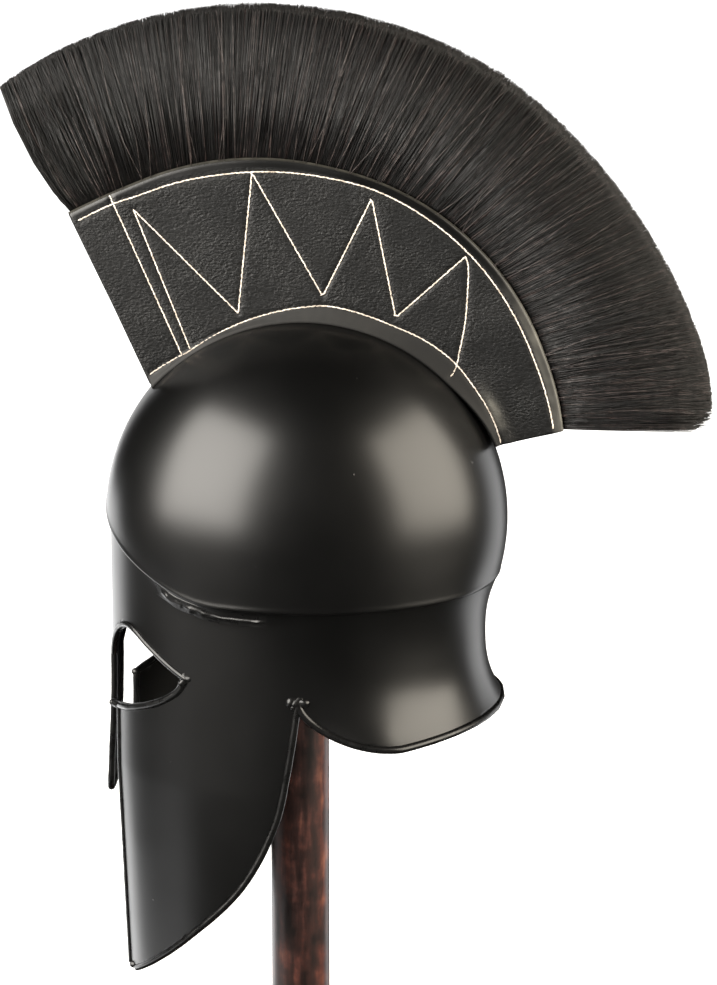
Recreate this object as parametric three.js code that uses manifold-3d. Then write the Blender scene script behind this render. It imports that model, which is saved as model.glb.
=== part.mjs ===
// A crested helmet of black painted sheet steel on a plain wooden stand.
// Millimetres, +Z up. The face looks along -Y and the wearer's left is +X.
// The origin is the centre of the stand's bottom face. Inside the helmet's own
// group the origin is the centre of the skull, and places are measured from it.
import * as THREE from 'three';
import { mergeVertices } from 'three/addons/utils/BufferGeometryUtils.js';
import Module from 'manifold-3d';

const wasm = await Module();
wasm.setup();

// Clearance between pieces that touch
const gap = 0.3;

// Stand
const baseDiameter = 210;
const baseThickness = 20;
const baseRound = 5;
const baseFootBevel = 2;
const postDiameter = 37.5;
const padDiameter = 84;
const padThickness = 16;
const padNeck = 22;
const padLip = 3;
const neckBendOut = 0.2;
const neckBendDown = 0.35;
const standSides = 32;

// Skull: an egg-shaped bowl
const skullCentreHeight = 395;
const skullSetBack = 5;
const skullLength = 252;
const skullWidth = 212;
const skullRise = 127;
const sheet = 1.6;

// Lap where the skull overhangs the guards, heights from the skull's centre
const lapPeak = 12;
const lapLevel = -32.5;
const lapSideAngle = 66;
const lapInside = 3;
const lapRound = 1.3;
const lapFall = 1.9;

// Guards below the lap
const faceReach = 123.3;
const guardWidth = 197;
const waistReach = 112.8;
const waistLevel = -71;
const chinLevel = -155;
const chinDraw = 5.5;
const flare = 11.2;
const rimBackLevel = -116;
const rimSideLevel = -120.5;
const rimSideSetBack = 68;
const rimRound = 1.15;
const rimSpacing = 1.5;
const valleyRound = 2.2;
const flareRound = 2.6;
const pastRim = 1.2;

// Degrees from the face over which the guards' plan, narrowing and flare come in
const napeTurn = [60, 120];
const waistTurn = [40, 150];
const flareTurn = [88, 125];

// Face opening: nasal, eyes and the slot between the cheeks
const nasalHalfWidth = 13;
const nasalEndLevel = -183.5;
const nasalEndDrop = 11.7;
const nasalLean = 5;
const slotHalfWidth = 34;
const slotTipHalfWidth = 30.5;
const innerEyeLevel = -90;
const browLevel = -60;
const browHalfWidth = 49;
const eyeCornerHalfWidth = 82;
const eyeCornerLevel = -83.3;
const lowerLidLevel = -117.5;
const cheekTipLevel = -292;

// Bends of the lids, as shares across and along the height between their ends
const innerBrowBend = [0.5, 0.68];
const outerBrowBend = [0.5, 0.365];
const lowerLidBends = [[0.07, 0.31], [0.28, 0.62], [0.64, 0.87]];

// Cheek's rear edge from the ear notch to the tip, its bends as shares forward and down
const notchSetBack = 4.4;
const notchLevel = -92;
const cheekTipSetFront = 106;
const cheekBends = [[0.06, 0.22], [0.14, 0.41], [0.335, 0.62], [0.66, 0.818]];

// Edge wire brazed round every free edge, and its lumps of braze
const wireDiameter = 4.4;
const wireSides = 6;
const wireStep = 14;
const earLumpRadius = 4.2;
const eyeLumpRadius = 3.8;
const wireTipRadius = 2.6;

// The left lower lid's wire runs on past the cheek's corner and stands off
const lidTail = 7;
const lidTailLift = 3.5;

// Crest: arcs about one centre above and before the skull's centre
const crestCentreForward = 27;
const crestCentreRise = 38.5;
const holderRadius = 188.5;
const plumeRadius = 280;
const holderFrontAngle = 127.8;
const holderRearAngle = 6.5;
const footFrontAngle = 138.7;
const footRearAngle = 22.8;
const crestThickness = 23;
const leather = 2;
const footSpread = 4;
const footHeight = 7;
const footBendUp = 0.45;
const footBendOut = 0.3;
const outerBand = 7;
const outerPinch = 1.6;
const rearStandOff = 4.5;
const rearStandOffStart = 0.78;
const crestColumns = 28;

// Where the holder's outer edge leaves its arc: a lifted front corner and a low swell behind the top
const cornerLift = 4.9;
const cornerRun = 0.13;
const edgeSwell = 2;
const edgeSwellRun = [0.42, 0.87];

// Plume: bristle locks side by side on the narrow back of the brush
const lockCount = 30;
const lockLeanFront = 118.5;
const lockLeanRear = 1.2;
const lockGroove = 2.2;
const lockNotch = 4;
const plumeTipWidth = 34;
const brushBackDepth = 6;
const plumeDip = 3.5;
const plumeDipRun = [0.55, 0.9];
const plumeRearGrowth = 2.5;
const plumeRearStart = 0.86;

// Fineness of the skins and the reach of the cutting plates
const shellColumns = 48;
const guardRows = 9;
const skullRows = 8;
const rowRound = 1.35;
const solvePasses = 24;
const cutterReach = 400;
const cutMargin = 30;
const bottomLevel = cheekTipLevel - cutMargin;

const rad = THREE.MathUtils.degToRad;
const { clamp, lerp, smoothstep } = THREE.MathUtils;
const steps = (count) => Array.from({ length: count + 1 }, (_, i) => i / count);
const hump = (share, [from, to]) => Math.sin(Math.PI * clamp((share - from) / (to - from), 0, 1));

const paint = new THREE.MeshStandardMaterial({ color: '#1d1d1d', roughness: 0.38, metalness: 0.0 });
const hide = new THREE.MeshStandardMaterial({ color: '#2d2f2e', roughness: 0.6, metalness: 0.0 });
const bristle = new THREE.MeshStandardMaterial({ color: '#2a2524', roughness: 0.7, metalness: 0.0 });
const wood = new THREE.MeshStandardMaterial({ color: '#3a1f17', roughness: 0.45, metalness: 0.0 });

// Closed geometry to a solid that can be joined or cut, and back
function toSolid(geometry) {
  const bare = new THREE.BufferGeometry();
  bare.setAttribute('position', geometry.getAttribute('position').clone());
  if (geometry.index) bare.setIndex(geometry.index.clone());
  const merged = mergeVertices(bare, 1e-4);
  return new wasm.Manifold(new wasm.Mesh({
    numProp: 3,
    vertProperties: new Float32Array(merged.getAttribute('position').array),
    triVerts: new Uint32Array(merged.index.array),
  }));
}

function toGeometry(solid) {
  const mesh = solid.getMesh();
  const geometry = new THREE.BufferGeometry();
  geometry.setAttribute('position', new THREE.BufferAttribute(mesh.vertProperties.slice(), 3));
  geometry.setIndex(new THREE.BufferAttribute(mesh.triVerts.slice(), 1));
  geometry.computeVertexNormals();
  return geometry;
}

function part(name, geometry, material) {
  const mesh = new THREE.Mesh(geometry, material);
  mesh.name = name;
  return mesh;
}

// A closed skin over rows of rings: every ring has the same number of points,
// and a first or last ring of one point is a pole
function skinGeometry(rings) {
  const points = [];
  const starts = rings.map((ring) => {
    const start = points.length;
    points.push(...ring);
    return start;
  });
  const index = [];
  for (let r = 0; r + 1 < rings.length; r += 1) {
    const [low, high] = [rings[r], rings[r + 1]];
    const count = Math.max(low.length, high.length);
    for (let i = 0; i < count; i += 1) {
      const j = (i + 1) % count;
      const a = starts[r] + (low.length > 1 ? i : 0);
      const b = starts[r] + (low.length > 1 ? j : 0);
      const c = starts[r + 1] + (high.length > 1 ? j : 0);
      const d = starts[r + 1] + (high.length > 1 ? i : 0);
      if (low.length > 1) index.push(a, b, c);
      if (high.length > 1) index.push(a, c, d);
    }
  }
  const geometry = new THREE.BufferGeometry();
  geometry.setAttribute('position', new THREE.Float32BufferAttribute(points.flatMap((p) => p.toArray()), 3));
  geometry.setIndex(index);
  return geometry;
}

// Radius of an ellipse in plan at an angle from the face, halfWidth across X
function planRadius(halfWidth, halfLength, angle) {
  return 1 / Math.hypot(Math.sin(angle) / halfWidth, Math.cos(angle) / halfLength);
}

function skullRadius(angle, level, inset) {
  const share = Math.sqrt(Math.max(0, 1 - (level / (skullRise - inset)) ** 2));
  return planRadius(skullWidth / 2 - inset, skullLength / 2 - inset, angle) * share;
}

// Degrees of turn from the face, the same to either side
function degreesFromFace(angle) {
  const turn = Math.abs(THREE.MathUtils.euclideanModulo(angle + Math.PI, 2 * Math.PI) - Math.PI);
  return THREE.MathUtils.radToDeg(turn);
}

// Height of the lap line: a low peak over the face, level from the temples back
function lapHeight(angle) {
  const share = clamp(degreesFromFace(angle) / lapSideAngle, 0, 1);
  return lapLevel + (lapPeak - lapLevel) * (1 - share ** lapRound) ** lapFall;
}

// Radius of the guards: near upright at the face, waisted and flared at the nape
function guardRadius(angle, level) {
  const turn = degreesFromFace(angle);
  const nape = smoothstep(turn, ...napeTurn);
  const draw = chinDraw * clamp((chinLevel - level) / (chinLevel - cheekTipLevel), 0, 1);
  const reach = lerp(faceReach, waistReach, smoothstep(turn, ...waistTurn)) - draw;
  const waist = planRadius(guardWidth / 2 - draw / 2, reach, angle);
  const lap = lapHeight(angle);
  const valley = clamp((level - waistLevel) / (lap - waistLevel), 0, 1) ** valleyRound;
  const spread = clamp((waistLevel - level) / (waistLevel - rimBackLevel), 0, pastRim) ** flareRound;
  const rise = (skullRadius(angle, lap, 0) - waist) * valley * nape;
  return waist + rise + flare * smoothstep(turn, ...flareTurn) * spread;
}

// The nose piece leans out a little toward its end
function nasalOffset(angle, level) {
  const across = Math.abs(Math.sin(angle)) * faceReach;
  const down = clamp((innerEyeLevel - level) / (innerEyeLevel - nasalEndLevel), 0, pastRim);
  return nasalLean * down ** 2 * (1 - smoothstep(across, nasalHalfWidth, slotHalfWidth));
}

function around(angle, radius, level) {
  return new THREE.Vector3(radius * Math.sin(angle), -radius * Math.cos(angle), level);
}

// Place on the guards' mid surface for an angle and level
function onGuard(angle, level, depth = sheet / 2) {
  const radius = guardRadius(angle, level) + nasalOffset(angle, level) - depth;
  return around(angle, radius, level);
}

// The same, found from a distance across X at the face, or from a set-back along Y at the side
function atHalfWidth(x, level) {
  let angle = 0;
  for (let pass = 0; pass < solvePasses; pass += 1) {
    angle = Math.asin(clamp(x / (guardRadius(angle, level) - sheet / 2), -1, 1));
  }
  return onGuard(angle, level);
}

function atSetBack(y, level) {
  let angle = Math.PI / 2;
  for (let pass = 0; pass < solvePasses; pass += 1) {
    angle = Math.PI - Math.acos(clamp(y / (guardRadius(angle, level) - sheet / 2), -1, 1));
  }
  return onGuard(angle, level);
}

// Rings of one skin of the shell, set in by the depth, from under the cheeks to the crown
function shellSkin(depth) {
  const angles = Array.from({ length: shellColumns }, (_, i) => (i / shellColumns) * 2 * Math.PI);
  const lapShift = depth > 0 ? lapInside : 0;
  const rings = [];
  rings.push([new THREE.Vector3(0, 0, bottomLevel - depth)]);
  for (let row = 0; row <= guardRows; row += 1) {
    const share = 1 - (1 - row / guardRows) ** rowRound;
    rings.push(angles.map((angle) => {
      const level = lerp(bottomLevel - depth, lapHeight(angle) + lapShift, share);
      return onGuard(angle, level, depth);
    }));
  }
  for (let row = 0; row < skullRows; row += 1) {
    rings.push(angles.map((angle) => {
      const lap = lapHeight(angle) + lapShift;
      const start = Math.asin(lap / (skullRise - depth));
      const level = (skullRise - depth) * Math.sin(lerp(start, Math.PI / 2, row / skullRows));
      return around(angle, Math.max(skullRadius(angle, level, depth), 1), level);
    }));
  }
  rings.push([new THREE.Vector3(0, 0, skullRise - depth)]);
  return toSolid(skinGeometry(rings));
}

// A curve between two points of a flat outline that passes its bends
function bentEdge(from, to, bends) {
  const middle = bends.map(([x, y]) => new THREE.Vector2(lerp(from.x, to.x, x), lerp(from.y, to.y, y)));
  return new THREE.SplineCurve([from, ...middle, to]);
}

// Cheek's rear edge in side view
const cheekEdge = bentEdge(
  new THREE.Vector2(notchSetBack, notchLevel),
  new THREE.Vector2(-cheekTipSetFront, cheekTipLevel),
  cheekBends,
);

// The neck rim in side view: a quarter ellipse down from the ear notch, then a straight run back
function rimLevel(setBack) {
  const side = clamp((setBack - notchSetBack) / (rimSideSetBack - notchSetBack), 0, 1);
  if (side < 1) return notchLevel + (rimSideLevel - notchLevel) * Math.sqrt(1 - (1 - side) ** 2) ** rimRound;
  const back = (setBack - rimSideSetBack) / (waistReach + flare - rimSideSetBack);
  return lerp(rimSideLevel, rimBackLevel, clamp(back, 0, pastRim));
}

// Edges of an eye across X and Z: over the brow from the nasal to the rear corner, and back to the slot
const eyeCorner = new THREE.Vector2(eyeCornerHalfWidth, eyeCornerLevel);
const brow = new THREE.Vector2(browHalfWidth, browLevel);
const innerBrow = bentEdge(new THREE.Vector2(nasalHalfWidth, innerEyeLevel), brow, [innerBrowBend]);
const outerBrow = bentEdge(brow, eyeCorner, [outerBrowBend]);
const upperLid = new THREE.SplineCurve([...innerBrow.points, ...outerBrow.points.slice(1)]);
const lowerLid = bentEdge(eyeCorner, new THREE.Vector2(slotHalfWidth, lowerLidLevel), lowerLidBends);

// Half of the nose piece's end, a round tongue
function nasalEnd(share) {
  const turn = share * Math.PI / 2;
  const level = nasalEndLevel + nasalEndDrop * (1 - Math.sin(turn));
  return new THREE.Vector2(nasalHalfWidth * Math.cos(turn), level);
}

// Outline of the face opening in front view, closed below the cheeks
function faceOpening() {
  const nose = steps(5).map(nasalEnd).reverse();
  const right = [...nose, ...upperLid.getSpacedPoints(14), ...lowerLid.getSpacedPoints(9).slice(1)];
  right.push(new THREE.Vector2(slotTipHalfWidth, cheekTipLevel));
  right.push(new THREE.Vector2(slotTipHalfWidth, bottomLevel - cutterReach));
  const left = right.map((p) => new THREE.Vector2(-p.x, p.y)).reverse();
  return new THREE.Shape([...right, ...left.slice(0, -1)]);
}

// Everything under the cheeks' rear edges and the neck rim, in side view
function underOutline() {
  const cheek = cheekEdge.getSpacedPoints(14).reverse();
  const rim = steps(16).slice(1).map((t) => {
    const y = lerp(notchSetBack, waistReach + flare * 2, t ** rimSpacing);
    return new THREE.Vector2(y, rimLevel(y));
  });
  const low = bottomLevel - cutterReach;
  return new THREE.Shape([
    ...cheek,
    ...rim,
    new THREE.Vector2(cutterReach, rimBackLevel),
    new THREE.Vector2(cutterReach, low),
    new THREE.Vector2(-cutterReach, low),
    new THREE.Vector2(-cutterReach, cheekTipLevel),
  ]);
}

// A plate cut along Y from the front, or along X right through
function frontCutter(shape) {
  const plate = new THREE.ExtrudeGeometry(shape, { depth: cutterReach, bevelEnabled: false });
  plate.rotateX(Math.PI / 2);
  return toSolid(plate);
}

function sideCutter(shape) {
  const plate = new THREE.ExtrudeGeometry(shape, { depth: 2 * cutterReach, bevelEnabled: false });
  plate.translate(0, 0, -cutterReach);
  plate.applyMatrix4(new THREE.Matrix4().makeBasis(
    new THREE.Vector3(0, 1, 0),
    new THREE.Vector3(0, 0, 1),
    new THREE.Vector3(1, 0, 0),
  ));
  return toSolid(plate);
}

// Wire along a route, with the sides of its section set once
const wireSection = new THREE.Shape(steps(wireSides).slice(1).map((t) => new THREE.Vector2(
  (wireDiameter / 2) * Math.cos(t * 2 * Math.PI),
  (wireDiameter / 2) * Math.sin(t * 2 * Math.PI),
)));

function wire(points) {
  const route = new THREE.CatmullRomCurve3(points, false, 'centripetal');
  const count = Math.max(2, Math.round(route.getLength() / wireStep));
  return toSolid(new THREE.ExtrudeGeometry(wireSection, { steps: count, extrudePath: route }));
}

function lump(centre, radius) {
  return toSolid(new THREE.IcosahedronGeometry(radius, 1).translate(...centre.toArray()));
}

const onFace = (p) => atHalfWidth(p.x, p.y);

// Wires and lumps of one side
function sideTrim() {
  const noseSide = steps(4).slice(0, 4).map((t) => new THREE.Vector2(
    nasalHalfWidth,
    lerp(nasalEndLevel + nasalHalfWidth, innerEyeLevel, t),
  ));
  const slot = steps(6).map((t) => new THREE.Vector2(
    lerp(slotHalfWidth, slotTipHalfWidth, t),
    lerp(lowerLidLevel, cheekTipLevel + wireDiameter, t),
  ));
  const rim = steps(12).map((t) => {
    const y = lerp(notchSetBack, waistReach + flare - sheet / 2, t ** rimSpacing);
    return atSetBack(y, rimLevel(y));
  });
  rim[rim.length - 1].setX(-gap);
  return [
    wire([...noseSide, ...upperLid.getSpacedPoints(8)].map(onFace)),
    wire(slot.map(onFace)),
    wire(cheekEdge.getSpacedPoints(12).map((p) => atSetBack(p.x, p.y))),
    wire(rim),
    lump(atSetBack(notchSetBack, notchLevel), earLumpRadius),
    lump(onFace(eyeCorner), eyeLumpRadius),
  ];
}

// The lower lids' wires; the left one ends in a tail
function lidTrim() {
  const lid = lowerLid.getSpacedPoints(6).map(onFace);
  const tail = atHalfWidth(slotHalfWidth - lidTail, lowerLidLevel);
  tail.y -= lidTailLift;
  const right = lid.map((p) => new THREE.Vector3(-p.x, p.y, p.z));
  return [
    wire([...lid, tail]),
    lump(tail, wireTipRadius),
    wire(right),
    lump(right[right.length - 1], wireTipRadius),
  ];
}

function nasalTrim() {
  const right = steps(4).map(nasalEnd);
  const left = right.map((p) => new THREE.Vector2(-p.x, p.y)).reverse().slice(1);
  return wire([...right, ...left].map(onFace));
}

function helmetShell() {
  const hollow = shellSkin(sheet);
  let shell = shellSkin(0).subtract(hollow);
  shell = shell.subtract(frontCutter(faceOpening())).subtract(sideCutter(underOutline()));
  const trim = sideTrim();
  const mirrored = trim.map((piece) => piece.mirror([1, 0, 0]));
  shell = wasm.Manifold.union([shell, ...trim, ...mirrored, ...lidTrim(), nasalTrim()]);
  return toGeometry(shell);
}

// A closed plate between two grids of points, each columns of rows; the first grid is the one toward +X
function plateGeometry(near, far) {
  const columns = near.length;
  const rows = near[0].length;
  const at = (side, c, r) => (side * columns + c) * rows + r;
  const index = [];
  const quad = (a, b, c, d) => index.push(a, b, c, a, c, d);
  for (let c = 0; c + 1 < columns; c += 1) {
    for (let r = 0; r + 1 < rows; r += 1) {
      quad(at(0, c, r), at(0, c + 1, r), at(0, c + 1, r + 1), at(0, c, r + 1));
      quad(at(1, c, r), at(1, c, r + 1), at(1, c + 1, r + 1), at(1, c + 1, r));
    }
    quad(at(0, c, 0), at(1, c, 0), at(1, c + 1, 0), at(0, c + 1, 0));
    quad(at(0, c, rows - 1), at(0, c + 1, rows - 1), at(1, c + 1, rows - 1), at(1, c, rows - 1));
  }
  for (let r = 0; r + 1 < rows; r += 1) {
    quad(at(0, 0, r), at(0, 0, r + 1), at(1, 0, r + 1), at(1, 0, r));
    const last = columns - 1;
    quad(at(0, last, r), at(1, last, r), at(1, last, r + 1), at(0, last, r + 1));
  }
  const points = [...near.flat(), ...far.flat()];
  const geometry = new THREE.BufferGeometry();
  geometry.setAttribute('position', new THREE.Float32BufferAttribute(points.flatMap((p) => p.toArray()), 3));
  geometry.setIndex(index);
  return geometry;
}

const crestCentre = new THREE.Vector2(-crestCentreForward, crestCentreRise);
const flat = crestThickness / 2;
const bareHalf = flat - leather - gap;

// Places on the crest's middle plane: along runs from the front end (0) to the rear (1)
function footPlace(along, x, lift = gap) {
  const turn = rad(lerp(footFrontAngle, footRearAngle, along));
  const shrink = Math.sqrt(1 - (x / (skullWidth / 2)) ** 2);
  const skull = shrink / Math.hypot(Math.cos(turn) / (skullLength / 2), Math.sin(turn) / skullRise);
  const reach = skull + lift + rearStandOff * smoothstep(along, rearStandOffStart, 1);
  return new THREE.Vector2(Math.cos(turn), Math.sin(turn)).multiplyScalar(reach);
}

function holderPlace(along, inset = 0) {
  const turn = rad(lerp(holderFrontAngle, holderRearAngle, along));
  const corner = cornerLift * (1 - clamp(along / cornerRun, 0, 1)) ** 2;
  const radius = holderRadius - inset + corner + edgeSwell * hump(along, edgeSwellRun);
  return new THREE.Vector2(Math.cos(turn), Math.sin(turn)).multiplyScalar(radius).add(crestCentre);
}

// Stations up one side of the crest: distance from the foot, or from the outer edge if negative,
// and how far the leather's outer face stands from the middle plane
const coverStations = [
  { up: 0, out: flat + footSpread },
  { up: footHeight * footBendUp, out: flat + footSpread * footBendOut },
  { up: footHeight, out: flat },
  { up: -outerBand, out: flat },
  { up: 0, fromTop: true, out: flat - outerPinch },
];

const coreStations = [
  { up: 0, out: bareHalf },
  { up: -outerBand, out: bareHalf },
  { up: -brushBackDepth - gap, out: bareHalf - outerPinch },
];

function crestColumn(along, stations, side, inset, foot) {
  const low = footPlace(along, foot);
  const high = holderPlace(along);
  const run = high.clone().sub(low);
  const length = run.length();
  return stations.map(({ up, out, fromTop }) => {
    const distance = up < 0 || fromTop ? length + up : up;
    const place = low.clone().addScaledVector(run, distance / length);
    return new THREE.Vector3(side * (out - inset), place.x, place.y);
  });
}

const footRun = rad(footFrontAngle - footRearAngle) * skullLength / 2;
const endShare = leather / footRun;
const endClear = gap / footRun;

function crestCover(side) {
  const columns = steps(crestColumns);
  const foot = flat + footSpread - leather;
  const outer = columns.map((t) => crestColumn(t, coverStations, side, 0, foot));
  const inner = columns.map((t) => crestColumn(t, coverStations, side, leather, foot));
  return side > 0 ? plateGeometry(outer, inner) : plateGeometry(inner, outer);
}

// A crescent block between two shares of the crest's run
function crescent(from, to, columns, stations) {
  const places = steps(columns).map((t) => lerp(from, to, t));
  const left = places.map((t) => crestColumn(t, stations, 1, 0, 0));
  const right = places.map((t) => crestColumn(t, stations, -1, 0, 0));
  return plateGeometry(left, right);
}

const crestCore = () => crescent(endShare + endClear, 1 - endShare - endClear, crestColumns, coreStations);
const crestEnd = (from) => crescent(from, from + endShare, 1, coreStations);

// Locks fan out from the brush's back and are trimmed to one arc
function plumeGeometry() {
  const perLock = 4;
  const inset = endClear;
  const columns = steps(lockCount * perLock).map((t, i) => ({
    along: lerp(inset, 1 - inset, t),
    lean: rad(lerp(lockLeanFront, lockLeanRear, t)),
    trim: plumeRearGrowth * smoothstep(t, plumeRearStart, 1) - plumeDip * hump(t, plumeDipRun),
    crown: Math.sin(((i % perLock) / perLock) * Math.PI),
  }));
  const rootHalf = bareHalf - outerPinch;
  const rows = [
    { share: 0, half: rootHalf, groove: 0 },
    { share: 0.08, half: rootHalf, groove: 0 },
    { share: 0.5, half: lerp(rootHalf, plumeTipWidth / 2, 0.72), groove: 1 },
    { share: 0.94, half: plumeTipWidth / 2, groove: 1 },
    { share: 1, half: plumeTipWidth / 2 - lockNotch, groove: 1 },
  ];
  const column = ({ along, lean, trim, crown }, side) => {
    const root = holderPlace(along, brushBackDepth);
    const way = new THREE.Vector2(Math.cos(lean), Math.sin(lean));
    const offset = root.clone().sub(crestCentre);
    const across = offset.dot(way);
    const reach = plumeRadius + trim - lockNotch * (1 - crown);
    const length = Math.sqrt(across ** 2 + reach ** 2 - offset.lengthSq()) - across;
    return rows.map(({ share, half, groove }) => {
      const place = root.clone().addScaledVector(way, length * share);
      const out = half - lockGroove * groove * (1 - crown);
      return new THREE.Vector3(side * out, place.x, place.y);
    });
  };
  return plateGeometry(columns.map((c) => column(c, 1)), columns.map((c) => column(c, -1)));
}

// Turned stand: a round base and a post whose pad follows the skull's crown from inside
function turned(profile) {
  const lathe = new THREE.LatheGeometry(profile.map(([r, z]) => new THREE.Vector2(r, z)), standSides);
  return lathe.rotateX(Math.PI / 2);
}

const roundInset = baseRound * (1 - Math.SQRT1_2);
const standBase = () => turned([
  [0, 0],
  [baseDiameter / 2 - baseFootBevel, 0],
  [baseDiameter / 2, baseFootBevel],
  [baseDiameter / 2, baseThickness - baseRound],
  [baseDiameter / 2 - roundInset, baseThickness - roundInset],
  [baseDiameter / 2 - baseRound, baseThickness],
  [0, baseThickness],
]);

function standPost() {
  const facetSag = (skullRise * (Math.PI / 2 / skullRows) ** 2) / 8;
  const crown = (radius) => {
    const share = (radius + skullSetBack) / (skullWidth / 2 - sheet);
    return skullCentreHeight + (skullRise - sheet) * Math.sqrt(1 - share ** 2) - gap - facetSag;
  };
  const padRadius = padDiameter / 2;
  const padTop = crown(padRadius);
  const domed = steps(4).map((t) => [padRadius * (1 - t), crown(padRadius * (1 - t))]);
  return turned([
    [0, baseThickness + gap],
    [postDiameter / 2, baseThickness + gap],
    [postDiameter / 2, padTop - padThickness - padNeck],
    [postDiameter / 2 + padNeck * neckBendOut, padTop - padThickness - padNeck * neckBendDown],
    [padRadius - padLip, padTop - padThickness],
    [padRadius, padTop - padThickness + padLip],
    ...domed,
  ]);
}

const helmet = new THREE.Group();
helmet.name = 'helmet';
helmet.position.set(0, skullSetBack, skullCentreHeight);
helmet.add(
  part('helmet_shell', helmetShell(), paint),
  part('crest_core', crestCore(), wood),
  part('crest_cover_left', crestCover(1), hide),
  part('crest_cover_right', crestCover(-1), hide),
  part('crest_end_front', crestEnd(0), hide),
  part('crest_end_rear', crestEnd(1 - endShare), hide),
  part('crest_plume', plumeGeometry(), bristle),
);

const crestedHelmet = new THREE.Group();
crestedHelmet.add(
  helmet,
  part('stand_post', standPost(), wood),
  part('stand_base', standBase(), wood),
);

export default crestedHelmet;
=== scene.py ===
"""A crested helmet of black painted sheet steel on a turned wooden stand.

The face looks along -Y, the wearer's left is +X, and +Z is up. Lengths are in millimetres until a
piece is finished, when its mesh is scaled to metres. Places on the helmet are measured from the
centre of its skull.
"""
import math
import random

import bmesh
import bpy
import numpy as np
from mathutils import Matrix, Vector, kdtree, noise


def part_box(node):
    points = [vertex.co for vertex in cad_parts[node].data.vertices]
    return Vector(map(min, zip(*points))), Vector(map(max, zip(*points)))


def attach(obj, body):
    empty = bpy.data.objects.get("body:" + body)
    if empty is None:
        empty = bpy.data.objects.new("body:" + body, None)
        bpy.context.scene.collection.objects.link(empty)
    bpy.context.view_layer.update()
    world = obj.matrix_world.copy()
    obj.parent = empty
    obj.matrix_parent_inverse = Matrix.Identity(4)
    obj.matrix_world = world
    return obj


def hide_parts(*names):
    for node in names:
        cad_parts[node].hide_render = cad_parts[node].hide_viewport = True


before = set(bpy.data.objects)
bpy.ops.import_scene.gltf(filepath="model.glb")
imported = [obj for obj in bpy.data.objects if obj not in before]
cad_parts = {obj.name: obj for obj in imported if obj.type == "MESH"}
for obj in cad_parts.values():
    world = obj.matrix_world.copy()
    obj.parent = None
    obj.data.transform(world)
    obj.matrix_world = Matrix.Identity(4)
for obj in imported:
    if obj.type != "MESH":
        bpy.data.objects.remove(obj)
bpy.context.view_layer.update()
random.seed(7)

MM = 0.001

# Sockets of a Mix node that mixes colours
MIX_A = 6
MIX_B = 7
MIX_RESULT = 2

# Skull, from the frame: the shell's box gives its width and top
shell_low, shell_high = (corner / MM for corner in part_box("helmet_shell"))
SHEET = 1.6
SKULL_WIDTH = shell_high.x - shell_low.x
SKULL_RISE = 127.0
SKULL_LENGTH = 252.0
SKULL_CENTRE = Vector((0.0, 5.0, shell_high.z - SKULL_RISE))

# Lap where the skull overhangs the guards
LAP_PEAK = 12.0
LAP_LEVEL = -32.5
LAP_SIDE_ANGLE = 66.0

# Guards under the lap
FACE_REACH = 123.3
GUARD_WIDTH = 197.0
WAIST_REACH = 112.8
WAIST_LEVEL = -71.0
CHIN_LEVEL = -155.0
CHIN_DRAW = 5.5
FLARE = 11.2
RIM_BACK_LEVEL = -116.0
RIM_SIDE_LEVEL = -120.5
RIM_SIDE_SET_BACK = 68.0

# Face opening and cheeks
NASAL_HALF_WIDTH = 13.0
NASAL_END_LEVEL = -183.5
NASAL_END_DROP = 11.7
NASAL_LEAN = 5.0
SLOT_HALF_WIDTH = 34.0
SLOT_TIP_HALF_WIDTH = 30.5
INNER_EYE_LEVEL = -90.0
BROW_LEVEL = -60.0
BROW_HALF_WIDTH = 49.0
EYE_CORNER_HALF_WIDTH = 82.0
EYE_CORNER_LEVEL = -83.3
LOWER_LID_LEVEL = -117.5
CHEEK_TIP_LEVEL = -292.0
NOTCH_SET_BACK = 4.4
NOTCH_LEVEL = -92.0
CHEEK_TIP_SET_FRONT = 106.0

# Bends of the lids and of the cheek's rear edge, as shares of the way between their ends
INNER_BROW_BEND = (0.5, 0.68)
OUTER_BROW_BEND = (0.5, 0.365)
LOWER_LID_BENDS = ((0.07, 0.31), (0.28, 0.62), (0.64, 0.87))
CHEEK_BENDS = ((0.06, 0.22), (0.14, 0.41), (0.335, 0.62), (0.66, 0.818))

# Edge wire
WIRE_RADIUS = 2.2
LID_WIRE_RADIUS = 2.5
LID_TAIL = 4.6
LID_TAIL_LIFT = 2.6

# Crest
CREST_CENTRE = Vector((-27.0, 38.5))
HOLDER_RADIUS = 188.5
PLUME_RADIUS = 280.0
HOLDER_FRONT_ANGLE = 127.8
HOLDER_REAR_ANGLE = 6.5
FOOT_FRONT_ANGLE = 138.7
FOOT_REAR_ANGLE = 22.8
CREST_HALF = 11.5
LEATHER = 2.0
FOOT_SPREAD = 4.0
OUTER_BAND = 7.0
OUTER_PINCH = 1.6
REAR_STAND_OFF = 4.5
BRUSH_BACK_DEPTH = 6.0
BRISTLE_LEAN_FRONT = 118.5
BRISTLE_LEAN_REAR = 1.2
PLUME_TIP_HALF = 17.0
CORNER_LIFT = 4.9
CORNER_RUN = 0.13
EDGE_SWELL = 2.0
EDGE_SWELL_RUN = (0.42, 0.87)
PLUME_DIP = 3.5
PLUME_DIP_RUN = (0.55, 0.9)
PLUME_REAR_GROWTH = 2.5
PLUME_REAR_START = 0.86

# Camera, measured on the photograph
PHOTO_HEIGHT = 985
PIXEL_MM = 0.625
CAMERA_DISTANCE = 2200.0
CAMERA_AZIMUTH = 95.0
CAMERA_ELEVATION = 15.0
AIM = Vector((0.0, 37.6, 410.0))


def lerp(a, b, t):
    return a + (b - a) * t


def clamp(x, low, high):
    return max(low, min(high, x))


def smoothstep(x, low, high):
    t = clamp((x - low) / (high - low), 0.0, 1.0)
    return t * t * (3 - 2 * t)


# Shape of the helmet

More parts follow.
